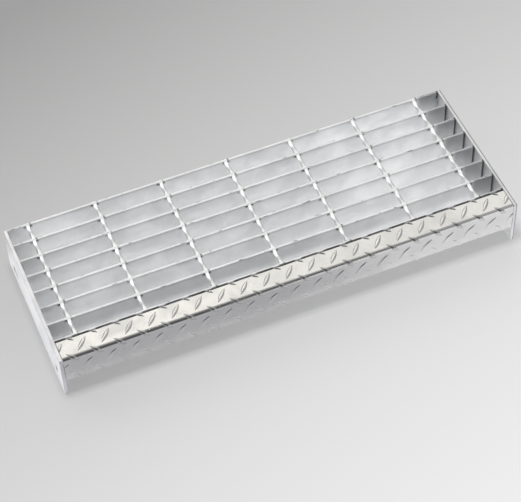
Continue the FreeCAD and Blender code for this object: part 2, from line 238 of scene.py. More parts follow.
blank = bmesh.new()
bmesh.ops.create_cube(blank, size=1.0)
bmesh.ops.scale(blank, vec=bar_size, verts=blank.verts)
bmesh.ops.translate(blank, vec=(rear_bar_low + rear_bar_high) / 2, verts=blank.verts)
for cut in range(1, int(bar_size.x / BAR_STEP)):
    bmesh.ops.bisect_plane(blank, geom=blank.verts[:] + blank.edges[:] + blank.faces[:],
                           plane_co=(rear_bar_low.x + cut * BAR_STEP, 0, 0), plane_no=(1, 0, 0))
for depth in BAR_CUTS:
    bmesh.ops.bisect_plane(blank, geom=blank.verts[:] + blank.edges[:] + blank.faces[:],
                           plane_co=(0, 0, rear_bar_high.z - depth), plane_no=(0, 0, 1))
bar_blank = bpy.data.meshes.new("bar_blank")
blank.to_mesh(bar_blank)
blank.free()

rear_bar = (rear_bar_low.y + rear_bar_high.y) / 2
bar_sizes = {"Bars": len(bar_nodes), "Bar pitch": bar_pitch, "Rear bar": rear_bar, "Top": rear_bar_high.z,
             "First rod": first_rod, "Rod pitch": rod_pitch, "Flash reach": FLASH_REACH,
             "Flash depth": FLASH_DEPTH, "Swell": FLASH_SWELL, "Rise": FLASH_RISE, "Wobble": BAR_WOBBLE,
             "Lip": LIP_SWELL, "Lip deep": LIP_DEEP}
tree, given = new_tree("forged_bars", bar_sizes)
step = add_node(tree, "ShaderNodeMath", {0: given["Bar pitch"], 1: -1.0}, operation="MULTIPLY")
stride = add_node(tree, "ShaderNodeCombineXYZ", {"Y": step})
row = add_node(tree, "GeometryNodeMeshLine", {"Count": given["Bars"], "Offset": stride})
bars = add_node(tree, "GeometryNodeInstanceOnPoints", {"Points": row, "Instance": given["Geometry"]})
loose = add_node(tree, "GeometryNodeRealizeInstances", {"Geometry": bars})
spot = add_node(tree, "ShaderNodeSeparateXYZ", {0: add_node(tree, "GeometryNodeInputPosition")})
from_rod = add_node(tree, "ShaderNodeMath", {0: spot.outputs["X"], 1: given["First rod"]},
                    operation="SUBTRACT")
half_pitch = add_node(tree, "ShaderNodeMath", {0: given["Rod pitch"], 1: 0.5}, operation="MULTIPLY")
near_rod = add_node(tree, "ShaderNodeMath", {0: from_rod, 1: half_pitch}, operation="PINGPONG")
beside = add_node(tree, "ShaderNodeMapRange", {0: near_rod, 2: given["Flash reach"], 3: 1.0, 4: 0.0},
                  interpolation_type="SMOOTHSTEP")
below = add_node(tree, "ShaderNodeMath", {0: given["Top"], 1: spot.outputs["Z"]}, operation="SUBTRACT")
upper = add_node(tree, "ShaderNodeMapRange", {0: below, 2: given["Flash depth"], 3: 1.0, 4: 0.0},
                 interpolation_type="SMOOTHSTEP")
flash = add_node(tree, "ShaderNodeMath", {0: beside, 1: upper}, operation="MULTIPLY")
from_rear = add_node(tree, "ShaderNodeMath", {0: given["Rear bar"], 1: spot.outputs["Y"]},
                     operation="SUBTRACT")
bar_number = add_node(tree, "ShaderNodeMath", {0: from_rear, 1: given["Bar pitch"]}, operation="DIVIDE")
nearest = add_node(tree, "ShaderNodeMath", {0: bar_number}, operation="ROUND")
bar_middle = add_node(tree, "ShaderNodeMath", {0: nearest, 1: given["Bar pitch"]}, operation="MULTIPLY")
aside = add_node(tree, "ShaderNodeMath", {0: bar_middle, 1: from_rear}, operation="SUBTRACT")
lip = add_node(tree, "ShaderNodeMapRange", {0: below, 2: given["Lip deep"], 3: given["Lip"], 4: 0.0})
swell = add_node(tree, "ShaderNodeMath", {0: flash, 1: given["Swell"], 2: lip}, operation="MULTIPLY_ADD")
thicker = add_node(tree, "ShaderNodeMath", {0: swell, 1: aside}, operation="MULTIPLY")
higher = add_node(tree, "ShaderNodeMath", {0: flash, 1: given["Rise"]}, operation="MULTIPLY")
uneven = add_node(tree, "ShaderNodeTexNoise", {"Scale": 1 / WOBBLE_LONG, "Detail": 2.0})
about_zero = add_node(tree, "ShaderNodeVectorMath", {0: uneven.outputs["Color"], 1: (0.5, 0.5, 0.5)},
                      operation="SUBTRACT")
wobble = add_node(tree, "ShaderNodeVectorMath", {0: about_zero, 3: given["Wobble"]}, operation="SCALE")
sideways = add_node(tree, "ShaderNodeVectorMath", {0: wobble, 1: (0, 1, 1)}, operation="MULTIPLY")
squeezed = add_node(tree, "ShaderNodeCombineXYZ", {"Y": thicker, "Z": higher})
moved = add_node(tree, "ShaderNodeVectorMath", {0: squeezed, 1: sideways}, operation="ADD")
forged = add_node(tree, "GeometryNodeSetPosition", {"Geometry": loose, "Offset": moved})
coated = add_node(tree, "GeometryNodeSetMaterial", {"Geometry": forged, "Material": zinc_on_bar})
add_node(tree, "NodeGroupOutput", {0: coated})
bars = shaped("forged_bars", bar_blank, BAR_EDGE, tree, bar_sizes)
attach(bars, "root")
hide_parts(*bar_nodes)

# Cross rods: seven square steel wires, twisted a quarter turn between bars and pressed flush into their tops.
# The zinc softens their corners, and the shear that crops them leaves a dark burr behind the rear bar.
rod_low, rod_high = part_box(rod_nodes[0])
ROD_SIDE = 5 * MM
ROD_CORNER = 0.7 * MM
ROD_LAND = 0.5 * MM
ROD_STEP = 0.75 * MM
BURR_SWELL = 1.58
BURR_LONG = 5 * MM
CROPPED_STEEL = "#2A2B2C"
zinc_on_rod = galvanised("galvanised_twisted_wire", "#FFFFFF", "#F8F9F9", metallic=0.52, roughness=0.18,
                         spangle=8 * MM, ripple=0.06 * MM)
tree = zinc_on_rod.node_tree
spot = add_node(tree, "ShaderNodeSeparateXYZ", {0: add_node(tree, "ShaderNodeTexCoord").outputs["Object"]})
cropped = [(spot.outputs["Y"], rear_bar_high.y - 2 * MM, rear_bar_high.y - 0.5 * MM, 0.0, 0.94)]
paint_stain_and_shade(zinc_on_rod, [cropped], CROPPED_STEEL)

rod_sizes = {"Rods": len(rod_nodes), "Rod pitch": rod_pitch, "First rod": first_rod, "Side": ROD_SIDE,
             "Corner": ROD_CORNER, "Axis": rear_bar_high.z - ROD_SIDE / 2, "Rear end": rod_high.y,
             "Front end": rod_low.y, "Rear face": rear_bar_high.y, "Bar pitch": bar_pitch,
             "Twist start": bar_size.y + ROD_LAND, "Twist end": bar_pitch - ROD_LAND, "Step": ROD_STEP,
             "Burr": BURR_SWELL, "Burr long": BURR_LONG}
tree, given = new_tree("twisted_rods", rod_sizes)
rear_end = add_node(tree, "ShaderNodeCombineXYZ", {"X": given["First rod"], "Y": given["Rear end"],
                                                   "Z": given["Axis"]})
front_end = add_node(tree, "ShaderNodeCombineXYZ", {"X": given["First rod"], "Y": given["Front end"],
                                                    "Z": given["Axis"]})
line = add_node(tree, "GeometryNodeCurvePrimitiveLine", {"Start": rear_end, "End": front_end})
stations = add_node(tree, "GeometryNodeResampleCurve", {"Curve": line, "Length": given["Step"]},
                    mode="LENGTH")
upright = add_node(tree, "GeometryNodeSetCurveNormal", {"Curve": stations}, mode="Z_UP")
spot = add_node(tree, "ShaderNodeSeparateXYZ", {0: add_node(tree, "GeometryNodeInputPosition")})
along = add_node(tree, "ShaderNodeMath", {0: given["Rear face"], 1: spot.outputs["Y"]}, operation="SUBTRACT")
share = add_node(tree, "ShaderNodeMath", {0: along, 1: given["Bar pitch"]}, operation="DIVIDE")
cells = add_node(tree, "ShaderNodeMath", {0: share}, operation="FLOOR")
in_cell = add_node(tree, "ShaderNodeMath", {0: along, 1: given["Bar pitch"]}, operation="FLOORED_MODULO")
turned = add_node(tree, "ShaderNodeMapRange", {0: in_cell, 1: given["Twist start"], 2: given["Twist end"]})
quarters = add_node(tree, "ShaderNodeMath", {0: cells, 1: turned}, operation="ADD")
turn = add_node(tree, "ShaderNodeMath", {0: quarters, 1: math.pi / 2}, operation="MULTIPLY")
twisted = add_node(tree, "GeometryNodeSetCurveTilt", {"Curve": upright, "Tilt": turn})
swollen = add_node(tree, "ShaderNodeMapRange", {0: along, 2: given["Burr long"], 3: given["Burr"], 4: 1.0},
                   interpolation_type="SMOOTHSTEP")
burred = add_node(tree, "GeometryNodeSetCurveRadius", {"Curve": twisted, "Radius": swollen})
square = add_node(tree, "GeometryNodeCurvePrimitiveQuadrilateral", {"Width": given["Side"],
                                                                    "Height": given["Side"]})
section = add_node(tree, "GeometryNodeFilletCurve", {"Curve": square, "Radius": given["Corner"], "Count": 2},
                   mode="POLY")
rod = add_node(tree, "GeometryNodeCurveToMesh", {"Curve": burred, "Profile Curve": section,
                                                 "Fill Caps": True})
stride = add_node(tree, "ShaderNodeCombineXYZ", {"X": given["Rod pitch"]})
row = add_node(tree, "GeometryNodeMeshLine", {"Count": given["Rods"], "Offset": stride})
rods = add_node(tree, "GeometryNodeInstanceOnPoints", {"Points": row, "Instance": rod})
loose = add_node(tree, "GeometryNodeRealizeInstances", {"Geometry": rods})
coated = add_node(tree, "GeometryNodeSetMaterial", {"Geometry": loose, "Material": zinc_on_rod})
add_node(tree, "NodeGroupOutput", {0: coated})
rods = shaped("twisted_rods", bpy.data.meshes.new("rod_blank"), tree=tree, sizes=rod_sizes)
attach(rods, "root")
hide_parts(*rod_nodes)

# End plates: steel flat bar cut to the tread's depth, punched with a round hole in front and a slot behind.
# The bars' ends butt against the plates, and bolts through the holes fix the tread to a stair.
PLATE_EDGE = 0.7 * MM
FLAT_FACE = 5 * MM * MM
SQUARE_ON = 0.999
SAME_POINT = 0.001 * MM
FLAT_ANGLE = math.radians(1)
# A near black for dirt, and for painted shade and dark reflection
DIRT_AND_SHADE_BLACK = "#26272A"


def keep_flat(piece):
    """Shades a piece's large square-on faces flat, so that its rounded edges don't bend their reflections."""
    for face in piece.data.polygons:
        face.use_smooth = face.area < FLAT_FACE or max(abs(part) for part in face.normal) < SQUARE_ON


zinc_on_plate = galvanised("galvanised_end_plate", "#F4F5F7", "#EAEBED", metallic=0.85, roughness=0.36,
                           spangle=14 * MM, ripple=0.03 * MM)

# A painted dark reflection lies along the right plate's outer edge
tree = zinc_on_plate.node_tree
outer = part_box("end_plate_right")[1].x
spot = add_node(tree, "ShaderNodeSeparateXYZ", {0: add_node(tree, "ShaderNodeTexCoord").outputs["Object"]})
dark_edge_reflection = [(spot.outputs["X"], outer - 1.9 * MM, outer - 1.4 * MM, 0.0, 0.6),
        (spot.outputs["X"], outer - 0.3 * MM, outer - 0.1 * MM, 1.0, 0.0)]
paint_stain_and_shade(zinc_on_plate, [dark_edge_reflection], DIRT_AND_SHADE_BLACK)

for side in ("left", "right"):
    plate = bmesh.new()
    plate.from_mesh(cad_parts["end_plate_" + side].data)
    bmesh.ops.remove_doubles(plate, verts=plate.verts, dist=SAME_POINT)
    bmesh.ops.dissolve_limit(plate, angle_limit=FLAT_ANGLE, verts=plate.verts, edges=plate.edges)
    blank = bpy.data.meshes.new("plate_blank_" + side)
    plate.to_mesh(blank)
    plate.free()
    blank.materials.clear()
    blank.materials.append(zinc_on_plate)
    plate = shaped("rounded_end_plate_" + side, blank, PLATE_EDGE)
    keep_flat(plate)
    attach(plate, "root")
    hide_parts("end_plate_" + side)

# Nosing: rolled steel chequer plate with almond lugs, cut to a strip and folded to an angle.
# The lugs run over the fold and are sheared through along the strip's edges. Stitch welds hold it to the last
# bar, and a bead at each end to the end plates.
nosing_low, nosing_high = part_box("nosing")
LUG_PITCH = 33.4 * MM
LUG_ROW = 18.5 * MM
LUG_LONG = 27 * MM
LUG_WIDE = 7 * MM
LUG_HIGH = 1.5 * MM
LUG_SUNK = 0.3 * MM
LUG_LEAN = math.radians(49)
FIRST_LUG = -1.2 * MM
FIRST_ROW = 14 * MM
SHEET_THICK = 3 * MM
FOLD_OUTSIDE = 5 * MM
SHEET_EDGE = 0.4 * MM
FOLD_CUTS = 8
LUG_POINTS_LONG = 25
LUG_POINTS_WIDE = 9
FLANK_POWER = 0.75
TIP_POWER = 0.5
sheet_long = nosing_high.x - nosing_low.x
top_flat = nosing_high.y - nosing_low.y - LUG_HIGH - FOLD_OUTSIDE
front_flat = nosing_high.z - nosing_low.z - LUG_HIGH - FOLD_OUTSIDE
fold_arc = FOLD_OUTSIDE * math.pi / 2
sheet_wide = top_flat + fold_arc + front_flat
lug_count = math.ceil(sheet_long / LUG_PITCH) + 2
zinc_on_chequer = galvanised("galvanised_chequer_plate", "#F2F2F0", "#E8E8E6", metallic=0.9, roughness=0.24,
                             spangle=12 * MM, ripple=0.03 * MM)

# Dirt and painted shade lie round the foot of each lug, less by the rear edge and on the front's right half,
# and the lugs on the fold are painted dark as the dark surroundings that they reflect
tree = zinc_on_chequer.node_tree
lug_foot = add_node(tree, "ShaderNodeAttribute", attribute_name="lug_foot").outputs["Fac"]
spot = add_node(tree, "ShaderNodeSeparateXYZ", {0: add_node(tree, "ShaderNodeTexCoord").outputs["Object"]})
# The dirt and painted shade on the front weaken from left to right
front_dirt_and_shade = add_node(tree, "ShaderNodeMapRange", {0: spot.outputs["X"], 1: -150 * MM, 2: 150 * MM,
                                                   3: 1.2, 4: 0.3})
outward = add_node(tree, "ShaderNodeMath", {0: spot.outputs["Z"], 1: spot.outputs["Y"]}, operation="SUBTRACT")
corner = nosing_high.z - nosing_low.y
lug_foot_dirt_and_shade = [(lug_foot, 1.15, 1.5, 0.0, 1.0),
        (spot.outputs["Y"], nosing_high.y - 9 * MM, nosing_high.y - 6 * MM, 0.62, 0.1),
        (spot.outputs["Z"], nosing_high.z - 12 * MM, nosing_high.z - 6 * MM, front_dirt_and_shade, 1.0)]
# Painted dark reflection on the lugs at the fold
fold_lug_dark_reflection = [(lug_foot, 0.5, 0.9, 0.0, 1.0), (lug_foot, 1.05, 1.35, 0.2, 0.95),
         (outward, corner - 14 * MM, corner - 9 * MM, 0.0, 1.0)]
paint_stain_and_shade(zinc_on_chequer, [lug_foot_dirt_and_shade, fold_lug_dark_reflection], DIRT_AND_SHADE_BLACK)

# Painted shade: the front of the last bar's top is darkened as the shaded gap under the nosing's rear edge,
# but for where a cut lug stands in front of it
tree = zinc_on_bar.node_tree
cut_lug = nosing_low.x + FIRST_LUG - LUG_PITCH / 2 + (LUG_ROW - FIRST_ROW) / math.tan(LUG_LEAN)
last_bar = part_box(bar_nodes[-1])[0].y
spot = add_node(tree, "ShaderNodeSeparateXYZ", {0: add_node(tree, "ShaderNodeTexCoord").outputs["Object"]})
from_lug = add_node(tree, "ShaderNodeMath", {0: spot.outputs["X"], 1: cut_lug}, operation="SUBTRACT")
near_lug = add_node(tree, "ShaderNodeMath", {0: from_lug, 1: LUG_PITCH / 2}, operation="PINGPONG")
last_bar_gap_shade = [(near_lug, 3 * MM, 6 * MM, 0.25, 0.85),
         (spot.outputs["Y"], last_bar + 1.7 * MM, last_bar + 1.1 * MM, 0.0, 1.0),
         (spot.outputs["Z"], rear_bar_high.z - 5 * MM, rear_bar_high.z - 2 * MM, 0.0, 1.0)]
paint_stain_and_shade(zinc_on_bar, [last_bar_gap_shade], SCALE_AND_SHADE_BLACK)

blank = bmesh.new()
bmesh.ops.create_cube(blank, size=1.0)
bmesh.ops.scale(blank, vec=(sheet_long, sheet_wide, SHEET_THICK), verts=blank.verts)
bmesh.ops.translate(blank, vec=(sheet_long / 2, -sheet_wide / 2, -SHEET_THICK / 2), verts=blank.verts)
for cut in range(FOLD_CUTS + 1):
    bmesh.ops.bisect_plane(blank, geom=blank.verts[:] + blank.edges[:] + blank.faces[:],
                           plane_co=(0, -top_flat - fold_arc * cut / FOLD_CUTS, 0), plane_no=(0, 1, 0))
sheet_blank = bpy.data.meshes.new("sheet_blank")
blank.to_mesh(sheet_blank)
blank.free()

nosing_sizes = {"Long": sheet_long, "Wide": sheet_wide, "Top flat": top_flat, "Outside": FOLD_OUTSIDE,
                "Arc": fold_arc, "Lugs": lug_count, "Lug pitch": LUG_PITCH, "Lug row": LUG_ROW,
                "Lug long": LUG_LONG, "Lug wide": LUG_WIDE, "Lug high": LUG_HIGH + LUG_SUNK,
                "Lug sunk": LUG_SUNK, "Lean": LUG_LEAN, "First lug": FIRST_LUG, "First row": FIRST_ROW,
                "Left": nosing_low.x, "Rear": nosing_high.y, "Top": nosing_high.z - LUG_HIGH}
tree, given = new_tree("folded_chequer_plate", nosing_sizes)

# One lug: a grid drawn in to two points, and domed across and along
patch = add_node(tree, "GeometryNodeMeshGrid", {"Size X": 2.0, "Size Y": 2.0, "Vertices X": LUG_POINTS_LONG,
                                                "Vertices Y": LUG_POINTS_WIDE})
spot = add_node(tree, "ShaderNodeSeparateXYZ", {0: add_node(tree, "GeometryNodeInputPosition")})
along_squared = add_node(tree, "ShaderNodeMath", {0: spot.outputs["X"], 1: 2.0}, operation="POWER")
narrow = add_node(tree, "ShaderNodeMath", {0: 1.0, 1: along_squared}, operation="SUBTRACT")
across_squared = add_node(tree, "ShaderNodeMath", {0: spot.outputs["Y"], 1: 2.0}, operation="POWER")
inward = add_node(tree, "ShaderNodeMath", {0: 1.0, 1: across_squared}, operation="SUBTRACT")
half_long = add_node(tree, "ShaderNodeMath", {0: given["Lug long"], 1: 0.5}, operation="MULTIPLY")
half_wide = add_node(tree, "ShaderNodeMath", {0: given["Lug wide"], 1: 0.5}, operation="MULTIPLY")
lug_x = add_node(tree, "ShaderNodeMath", {0: spot.outputs["X"], 1: half_long}, operation="MULTIPLY")
side_reach = add_node(tree, "ShaderNodeMath", {0: narrow, 1: half_wide}, operation="MULTIPLY")
lug_y = add_node(tree, "ShaderNodeMath", {0: spot.outputs["Y"], 1: side_reach}, operation="MULTIPLY")
flank = add_node(tree, "ShaderNodeMath", {0: inward, 1: FLANK_POWER}, operation="POWER")
tip = add_node(tree, "ShaderNodeMath", {0: narrow, 1: TIP_POWER}, operation="POWER")
dome = add_node(tree, "ShaderNodeMath", {0: flank, 1: tip}, operation="MULTIPLY")
raised = add_node(tree, "ShaderNodeMath", {0: dome, 1: given["Lug high"]}, operation="MULTIPLY")
lug_z = add_node(tree, "ShaderNodeMath", {0: raised, 1: given["Lug sunk"]}, operation="SUBTRACT")
lug_spot = add_node(tree, "ShaderNodeCombineXYZ", {"X": lug_x, "Y": lug_y, "Z": lug_z})
almond = add_node(tree, "GeometryNodeSetPosition", {"Geometry": patch, "Position": lug_spot})
foot = add_node(tree, "ShaderNodeMath", {0: across_squared, 1: 1.0}, operation="ADD")
lug = add_node(tree, "GeometryNodeStoreNamedAttribute",
               {"Geometry": almond, "Name": "lug_foot", "Value": foot}, data_type="FLOAT", domain="POINT")

# Rows of lugs on the flat strip: two that lean one way, set between three that lean the other way
gaps = add_node(tree, "ShaderNodeMath", {0: given["Lugs"], 1: 1.0}, operation="SUBTRACT")
row_long = add_node(tree, "ShaderNodeMath", {0: gaps, 1: given["Lug pitch"]}, operation="MULTIPLY")
row_middle = add_node(tree, "ShaderNodeMath", {0: row_long, 1: 0.5, 2: given["First lug"]},
                      operation="MULTIPLY_ADD")
middle_row = add_node(tree, "ShaderNodeMath", {0: given["First row"], 1: given["Lug row"]}, operation="ADD")
middle_y = add_node(tree, "ShaderNodeMath", {0: middle_row, 1: -1.0}, operation="MULTIPLY")
layouts = []
for rows, sideways, lean in ((2, 0.0, 1.0), (3, -0.5, -1.0)):
    deep = add_node(tree, "ShaderNodeMath", {0: given["Lug row"], 1: 2.0 * (rows - 1)}, operation="MULTIPLY")
    grid = add_node(tree, "GeometryNodeMeshGrid", {"Size X": row_long, "Size Y": deep,
                                                   "Vertices X": given["Lugs"], "Vertices Y": rows})
    middle_x = add_node(tree, "ShaderNodeMath", {0: given["Lug pitch"], 1: sideways, 2: row_middle},
                        operation="MULTIPLY_ADD")
    middle = add_node(tree, "ShaderNodeCombineXYZ", {"X": middle_x, "Y": middle_y})
    shifted = add_node(tree, "GeometryNodeTransform", {"Geometry": grid, "Translation": middle})
    angle = add_node(tree, "ShaderNodeMath", {0: given["Lean"], 1: lean}, operation="MULTIPLY")
    tilt = add_node(tree, "ShaderNodeCombineXYZ", {"Z": angle})
    turned = add_node(tree, "FunctionNodeEulerToRotation", {0: tilt})
    layouts.append(add_node(tree, "GeometryNodeInstanceOnPoints", {"Points": shifted, "Instance": lug,
                                                                   "Rotation": turned}))
pattern = add_node(tree, "GeometryNodeJoinGeometry")
for layout in layouts:
    tree.links.new(layout.outputs[0], pattern.inputs[0])
lugs = add_node(tree, "GeometryNodeRealizeInstances", {"Geometry": pattern})

# The shear trims every lug to the strip's edges, where its cut end dips into the sheet
far_corner = add_node(tree, "ShaderNodeCombineXYZ", {"X": given["Long"], "Y": 0.0, "Z": 1.0})
wide_down = add_node(tree, "ShaderNodeMath", {0: given["Wide"], 1: -1.0}, operation="MULTIPLY")
near_corner = add_node(tree, "ShaderNodeCombineXYZ", {"Y": wide_down, "Z": -1.0})
where = add_node(tree, "GeometryNodeInputPosition")
inside = add_node(tree, "ShaderNodeVectorMath", {0: where, 1: far_corner}, operation="MINIMUM")
trimmed = add_node(tree, "ShaderNodeVectorMath", {0: inside, 1: near_corner}, operation="MAXIMUM")
overhang = add_node(tree, "ShaderNodeVectorMath", {0: where, 1: trimmed}, operation="DISTANCE")
is_cut = add_node(tree, "ShaderNodeMath", {0: overhang.outputs["Value"], 1: SAME_POINT},
                  operation="GREATER_THAN")
spot = add_node(tree, "ShaderNodeSeparateXYZ", {0: trimmed})
buried = add_node(tree, "ShaderNodeMath", {0: given["Lug sunk"], 1: -1.0}, operation="MULTIPLY")
level = add_node(tree, "ShaderNodeMix", {0: is_cut, 2: spot.outputs["Z"], 3: buried}, data_type="FLOAT")
cut_spot = add_node(tree, "ShaderNodeCombineXYZ", {"X": spot.outputs["X"], "Y": spot.outputs["Y"],
                                                   "Z": level})
sheared = add_node(tree, "GeometryNodeSetPosition", {"Geometry": lugs, "Position": cut_spot})
strip = add_node(tree, "GeometryNodeJoinGeometry")
tree.links.new(given["Geometry"], strip.inputs[0])
tree.links.new(sheared.outputs[0], strip.inputs[0])

# The fold wraps the strip round its bend line
spot = add_node(tree, "ShaderNodeSeparateXYZ", {0: add_node(tree, "GeometryNodeInputPosition")})
down_strip = add_node(tree, "ShaderNodeMath", {0: spot.outputs["Y"], 1: -1.0}, operation="MULTIPLY")
on_top = add_node(tree, "ShaderNodeMath", {0: down_strip, 1: given["Top flat"]}, operation="MINIMUM")
past_top = add_node(tree, "ShaderNodeMath", {0: down_strip, 1: on_top}, operation="SUBTRACT")
on_fold = add_node(tree, "ShaderNodeMath", {0: past_top, 1: given["Arc"]}, operation="MINIMUM")
on_front = add_node(tree, "ShaderNodeMath", {0: past_top, 1: on_fold}, operation="SUBTRACT")
bend = add_node(tree, "ShaderNodeMath", {0: on_fold, 1: given["Outside"]}, operation="DIVIDE")
radius = add_node(tree, "ShaderNodeMath", {0: spot.outputs["Z"], 1: given["Outside"]}, operation="ADD")
sine = add_node(tree, "ShaderNodeMath", {0: bend}, operation="SINE")
cosine = add_node(tree, "ShaderNodeMath", {0: bend}, operation="COSINE")
forward = add_node(tree, "ShaderNodeMath", {0: radius, 1: sine, 2: on_top},
                   operation="MULTIPLY_ADD")
height = add_node(tree, "ShaderNodeMath", {0: radius, 1: cosine}, operation="MULTIPLY")
below_fold = add_node(tree, "ShaderNodeMath", {0: on_front, 1: given["Outside"]}, operation="ADD")
folded_x = add_node(tree, "ShaderNodeMath", {0: spot.outputs["X"], 1: given["Left"]}, operation="ADD")
folded_y = add_node(tree, "ShaderNodeMath", {0: given["Rear"], 1: forward}, operation="SUBTRACT")
dropped = add_node(tree, "ShaderNodeMath", {0: height, 1: below_fold}, operation="SUBTRACT")
folded_z = add_node(tree, "ShaderNodeMath", {0: dropped, 1: given["Top"]}, operation="ADD")
folded_spot = add_node(tree, "ShaderNodeCombineXYZ", {"X": folded_x, "Y": folded_y, "Z": folded_z})
folded = add_node(tree, "GeometryNodeSetPosition", {"Geometry": strip, "Position": folded_spot})
coated = add_node(tree, "GeometryNodeSetMaterial", {"Geometry": folded, "Material": zinc_on_chequer})
add_node(tree, "NodeGroupOutput", {0: coated})
nosing = shaped("folded_chequer_nosing", sheet_blank, SHEET_EDGE, tree, nosing_sizes)
keep_flat(nosing)
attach(nosing, "root")
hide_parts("nosing")

# Weld beads: steel laid by hand with an arc, at each bar's end and in stitches under the nosing.
# Each is a row of round ripples where the molten pool froze, and the zinc lies duller on it.
BEAD_RADIUS = 2.7 * MM
BEAD_OFFSET = 0.9 * MM
RIPPLE_STEP = 1.6 * MM
RIPPLE_FLAT = 0.55
RIPPLE_TILT = 0.45
STITCH_LONG = 30 * MM
CORNER_BEAD_LONG = 24 * MM
RIPPLE_LEAST = 0.92
RIPPLE_MOST = 1.06
RIPPLE_SEED = 5
zinc_on_weld = galvanised("galvanised_weld_bead", "#D5D6D7", "#B4B6B8", metallic=0.6, roughness=0.4,
                          spangle=4 * MM, ripple=0.12 * MM)

bead_lines = bmesh.new()
outward = bead_lines.verts.layers.float_vector.new("outward")


def bead_line(start, end, away):
    """One bead along the bottom of a corner, with the way out of that corner."""
    ends = [bead_lines.verts.new(spot) for spot in (start, end)]
    for vert in ends:
        vert[outward] = Vector(away).normalized()
    bead_lines.edges.new(ends)


nosing_weld_low, nosing_weld_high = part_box("nosing_welds")
for side, inward in (("left", 1), ("right", -1)):
    weld_low, weld_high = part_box("end_welds_" + side)
    face = weld_low.x if side == "left" else weld_high.x
    for node in bar_nodes:
        bar_low, bar_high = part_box(node)
        y, back = (bar_low.y, -1) if node == bar_nodes[0] else (bar_high.y, 1)
        bead_line((face, y, weld_low.z), (face, y, weld_high.z), (inward, back, 0))
    bead_line((face, nosing_weld_low.y, nosing_weld_low.z),
              (face, nosing_weld_low.y, nosing_weld_low.z + CORNER_BEAD_LONG), (inward, 1, 0))
for bay in range(len(rod_nodes) - 1):
    middle = first_rod + (bay + 0.5) * rod_pitch
    bead_line((middle - STITCH_LONG / 2, nosing_weld_high.y, nosing_weld_high.z),
              (middle + STITCH_LONG / 2, nosing_weld_high.y, nosing_weld_high.z), (0, -2, -1))
bead_mesh = bpy.data.meshes.new("bead_lines")
bead_lines.to_mesh(bead_mesh)
bead_lines.free()

weld_sizes = {"Radius": BEAD_RADIUS, "Offset": BEAD_OFFSET, "Step": RIPPLE_STEP, "Flat": RIPPLE_FLAT,
              "Tilt": RIPPLE_TILT}
tree, given = new_tree("rippled_welds", weld_sizes)
away = add_node(tree, "GeometryNodeInputNamedAttribute", {"Name": "outward"}, data_type="FLOAT_VECTOR")
out = add_node(tree, "ShaderNodeVectorMath", {0: away, 3: given["Offset"]}, operation="SCALE")
root = add_node(tree, "GeometryNodeSetPosition", {"Geometry": given["Geometry"], "Offset": out})
line = add_node(tree, "GeometryNodeMeshToCurve", {"Mesh": root})
pools = add_node(tree, "GeometryNodeResampleCurve", {"Curve": line, "Length": given["Step"]}, mode="LENGTH")
ripple = add_node(tree, "GeometryNodeMeshUVSphere", {"Segments": 10, "Rings": 6, "Radius": given["Radius"]})
travel = add_node(tree, "GeometryNodeInputTangent")
lean = add_node(tree, "ShaderNodeVectorMath", {0: away, 3: given["Tilt"]}, operation="SCALE")
facing = add_node(tree, "ShaderNodeVectorMath", {0: travel, 1: lean}, operation="ADD")
turned = add_node(tree, "FunctionNodeAlignRotationToVector", {"Vector": facing}, axis="Z")
unsteady = add_node(tree, "FunctionNodeRandomValue", {2: RIPPLE_LEAST, 3: RIPPLE_MOST, "Seed": RIPPLE_SEED},
                    data_type="FLOAT")
thin = add_node(tree, "ShaderNodeMath", {0: unsteady.outputs[1], 1: given["Flat"]}, operation="MULTIPLY")
size = add_node(tree, "ShaderNodeCombineXYZ", {"X": unsteady.outputs[1], "Y": unsteady.outputs[1], "Z": thin})
ripples = add_node(tree, "GeometryNodeInstanceOnPoints", {"Points": pools, "Instance": ripple,
                                                          "Rotation": turned, "Scale": size})
loose = add_node(tree, "GeometryNodeRealizeInstances", {"Geometry": ripples})
coated = add_node(tree, "GeometryNodeSetMaterial", {"Geometry": loose, "Material": zinc_on_weld})
add_node(tree, "NodeGroupOutput", {0: coated})
welds = shaped("rippled_welds", bead_mesh, tree=tree, sizes=weld_sizes)
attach(welds, "root")
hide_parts("end_welds_left", "end_welds_right", "nosing_welds")

# Studio: a pale grey paper floor that lightens towards the front right, lit by soft boxes above and behind.
# The paper has a glow of its own, so that its tone holds under the lamps, and the zinc mirrors it paler
# under the tread. A long lens looks down from the front left.
FLOOR_SIZE = 12.0
FLOOR_DARK = "#A0A0A0"
FLOOR_LIGHT = "#F6F6F6"
FLOOR_WHITE = "#F4F4F4"
FLOOR_COOL = "#BCBCC0"
LIGHTER_WAY = (0.33, -0.94, 0)
FADE_START = -0.65
FADE_END = 0.55
UNDER_MIDDLE = (0, 0.01, 0)
UNDER_LONG = (0.38, 0.46)
UNDER_DEEP = (0.12, 0.17)
MIRROR_START = -0.02
MIRROR_END = 0.25
RIGHT_GLOW = 0.44
UNDER_GLOW = (0.27, 0.09)
GLOW_SHARE = 0.45
floor_mesh = bpy.data.meshes.new("studio_floor")
floor_plan = bmesh.new()
bmesh.ops.create_grid(floor_plan, x_segments=1, y_segments=1, size=FLOOR_SIZE / 2)
floor_plan.to_mesh(floor_mesh)
floor_plan.free()
floor = bpy.data.objects.new("studio_floor", floor_mesh)
bpy.context.scene.collection.objects.link(floor)
paper = bpy.data.materials.new("studio_paper")
paper.use_nodes = True
tree = paper.node_tree
shader = tree.nodes["Principled BSDF"]
shader.inputs["Roughness"].default_value = 0.9
place = add_node(tree, "ShaderNodeTexCoord").outputs["Object"]
across = add_node(tree, "ShaderNodeVectorMath", {0: place, 1: LIGHTER_WAY}, operation="DOT_PRODUCT")
fade = add_node(tree, "ShaderNodeMapRange", {0: across.outputs["Value"], 1: FADE_START, 2: FADE_END})
